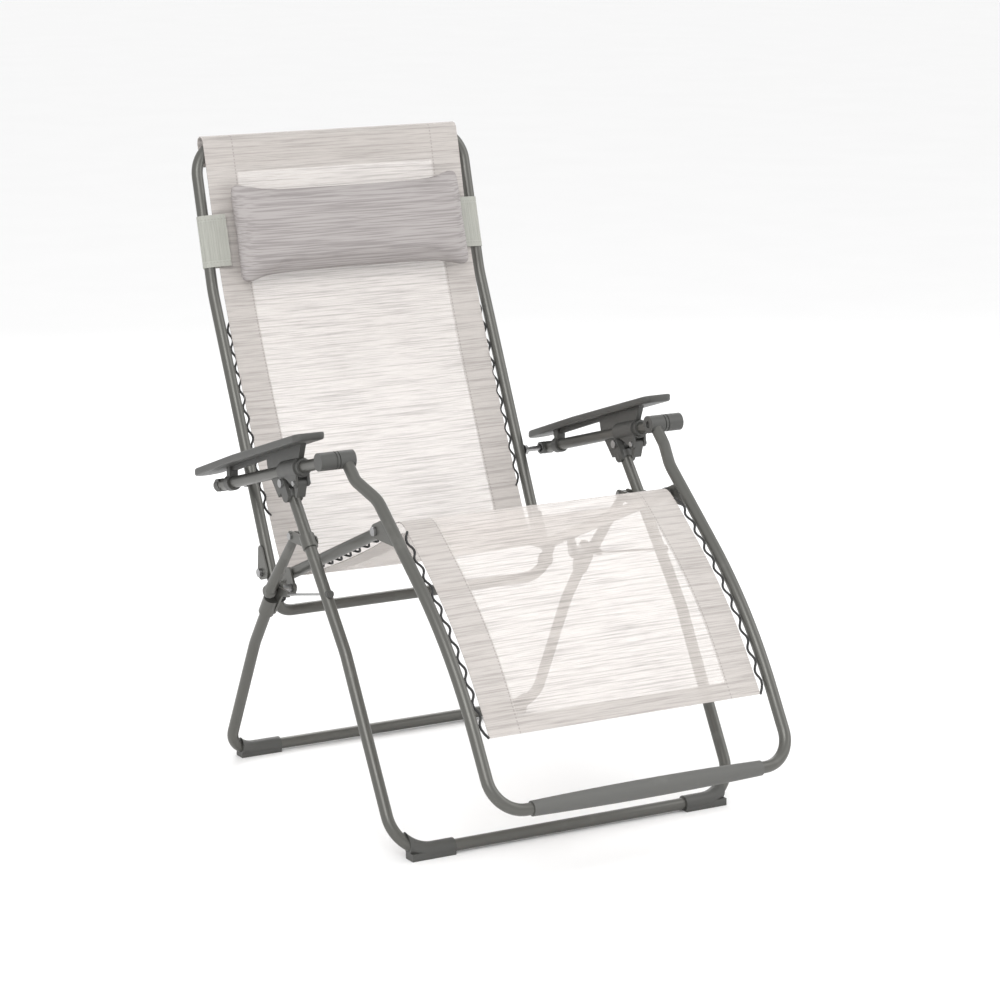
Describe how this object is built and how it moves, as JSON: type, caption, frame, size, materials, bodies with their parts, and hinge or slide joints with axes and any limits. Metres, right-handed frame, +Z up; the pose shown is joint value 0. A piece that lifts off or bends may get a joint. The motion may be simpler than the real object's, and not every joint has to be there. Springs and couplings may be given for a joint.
{
  "type": "zero gravity recliner",
  "caption": "Folding zero gravity recliner with a laced mesh sling, head pillow, armrests on sliding rails with lock levers, leg rest and tubular steel frame.",
  "frame": {"origin": "on the floor under the middle of the chair's bounding box", "axes": "+Z up, the sitter faces -Y, +X is the sitter's left"},
  "size_m": [0.73, 1.1204, 1.0852],
  "materials": {
    "frame_paint": "satin powder coat",
    "bright_steel": "zinc plated",
    "grey_plastic": "moulded nylon",
    "grip_rubber": "moulded soft grip",
    "mesh_fabric": "coated mesh weave",
    "pillow_fabric": "padded mesh weave",
    "strap_fabric": "woven elastic band",
    "dark_cord": "braided elastic cord"
  },
  "bodies": {
    "base": {"front_leg_frame": "frame_paint", "front_shoes": "grey_plastic", "upper_links": "frame_paint", "link_brackets": "frame_paint", "link_bolts": "bright_steel", "seat_pivot_bolts": "bright_steel", "stays": "bright_steel", "stay_anchors": "frame_paint", "stay_caps": "grey_plastic", "arm_sockets": "grey_plastic", "arm_pivot_bolts": "bright_steel"},
    "rear_legs": {"rear_leg_frame": "frame_paint", "rear_shoes": "grey_plastic", "rear_leg_yokes": "frame_paint"},
    "seat": {"seat_rails": "frame_paint", "seat_crossbar": "frame_paint", "seat_pivot_lugs": "frame_paint", "seat_rear_plates": "frame_paint", "seat_front_plugs": "grey_plastic", "seat_rear_plugs": "grey_plastic", "seat_hinge_bolts": "bright_steel", "crossbar_windings": "dark_cord", "seat_panel": "mesh_fabric", "seat_lacing_left": "dark_cord", "seat_lacing_right": "dark_cord"},
    "back": {"back_frame": "frame_paint", "back_hinge_plates": "frame_paint", "back_foot_plugs": "grey_plastic", "rail_pins": "bright_steel", "back_panel": "mesh_fabric", "pillow": "pillow_fabric", "pillow_strap_left": "strap_fabric", "pillow_strap_right": "strap_fabric", "back_lacing_left": "dark_cord", "back_lacing_right": "dark_cord"},
    "leg_rest": {"leg_frame": "frame_paint", "leg_hinge_plates": "frame_paint", "leg_barrels": "grey_plastic", "knee_pins": "bright_steel", "heel_grip": "grip_rubber", "leg_panel": "mesh_fabric", "leg_lacing_left": "dark_cord", "leg_lacing_right": "dark_cord"},
    "arm_left": {"arm_housing_left": "grey_plastic", "armrest_left": "grey_plastic", "lever_pin_left": "bright_steel"},
    "lever_left": {"lock_lever_left": "grey_plastic"},
    "rail_left": {"sliding_rail_left": "frame_paint", "rail_sleeve_left": "grey_plastic", "rail_cap_left": "grey_plastic"},
    "arm_right": {"arm_housing_right": "grey_plastic", "armrest_right": "grey_plastic", "lever_pin_right": "bright_steel"},
    "lever_right": {"lock_lever_right": "grey_plastic"},
    "rail_right": {"sliding_rail_right": "frame_paint", "rail_sleeve_right": "grey_plastic", "rail_cap_right": "grey_plastic"}
  },
  "joints": [
    {"name": "recline", "type": "hinge", "parent": "seat", "child": "back", "pos_m": [0, 0.2723, 0.352], "axis": [-1, 0, 0], "range_deg": [0, 18]},
    {"name": "seat_tilt", "type": "hinge", "parent": "base", "child": "seat", "pos_m": [0, 0.1538, 0.35], "axis": [-1, 0, 0], "range_deg": [0, 9]},
    {"name": "leg_raise", "type": "hinge", "parent": "seat", "child": "leg_rest", "pos_m": [0, -0.1597, 0.5127], "axis": [-1, 0, 0], "range_deg": [0, 25]},
    {"name": "stand_fold", "type": "hinge", "parent": "base", "child": "rear_legs", "pos_m": [0, 0.1538, 0.35], "axis": [-1, 0, 0], "range_deg": [0, 65]},
    {"name": "arm_left_tilt", "type": "hinge", "parent": "base", "child": "arm_left", "pos_m": [0.328, 0.0653, 0.556], "axis": [-1, 0, 0], "range_deg": [0, 6.8]},
    {"name": "rail_left_slide", "type": "slide", "parent": "arm_left", "child": "rail_left", "axis": [0, 0.9622, -0.2722], "range_m": [0, 0.076]},
    {"name": "lock_lever_left_turn", "type": "hinge", "parent": "arm_left", "child": "lever_left", "pos_m": [0.328, 0.01527, 0.56495], "axis": [-1, 0, 0], "range_deg": [0, 40]},
    {"name": "arm_right_tilt", "type": "hinge", "parent": "base", "child": "arm_right", "pos_m": [-0.328, 0.0653, 0.556], "axis": [-1, 0, 0], "range_deg": [0, 6.8]},
    {"name": "rail_right_slide", "type": "slide", "parent": "arm_right", "child": "rail_right", "axis": [0, 0.9622, -0.2722], "range_m": [0, 0.076]},
    {"name": "lock_lever_right_turn", "type": "hinge", "parent": "arm_right", "child": "lever_right", "pos_m": [-0.328, 0.01527, 0.56495], "axis": [-1, 0, 0], "range_deg": [0, 40]}
  ],
  "couplings": [
    {"joint": "seat_tilt", "follows": "recline", "ratio": 0.4797},
    {"joint": "leg_raise", "follows": "recline", "ratio": 1.3611},
    {"joint": "arm_left_tilt", "follows": "recline", "ratio": 0.3537},
    {"joint": "rail_left_slide", "follows": "recline", "m_per_rad": 0.23524},
    {"joint": "arm_right_tilt", "follows": "recline", "ratio": 0.3537},
    {"joint": "rail_right_slide", "follows": "recline", "m_per_rad": 0.23524}
  ]
}
